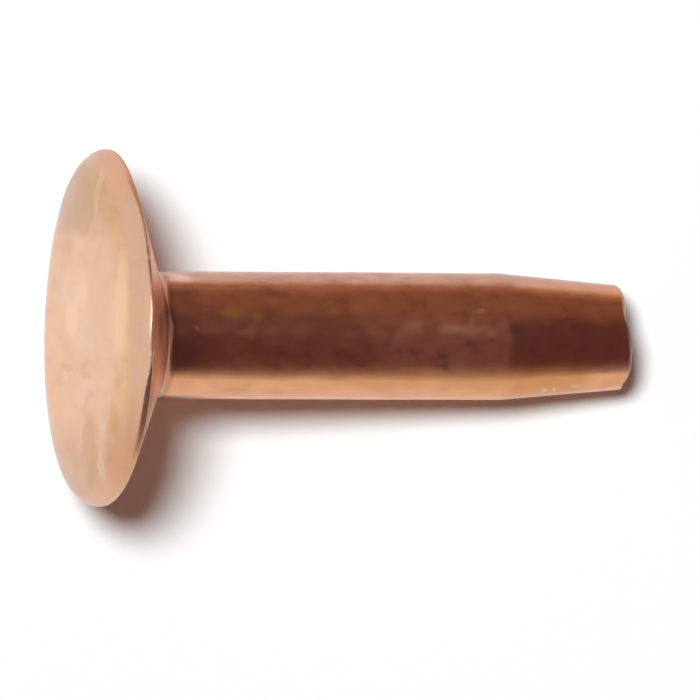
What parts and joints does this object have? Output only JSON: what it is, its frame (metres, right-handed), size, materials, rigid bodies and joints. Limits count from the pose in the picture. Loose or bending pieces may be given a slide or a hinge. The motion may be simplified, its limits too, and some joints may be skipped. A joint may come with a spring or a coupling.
{
  "type": "belt rivet",
  "caption": "Solid copper belt rivet: thin flat round head with a sloping underside, straight round shank and a tapered tip, clenched over a burr to join leather or belting.",
  "frame": {"origin": "centre of the flat outer face of the head, on which the rivet stands", "axes": "+Z along the shank, from the head to the tip; the rivet is round about Z, so X and Y are alike"},
  "size_m": [0.0118, 0.0118, 0.0186],
  "materials": {
    "copper": "bare drawn and cold headed copper, satin, with light brown tarnish and fine marks along the shank"
  },
  "bodies": {
    "root": {"rivet": "copper"}
  },
  "joints": []
}
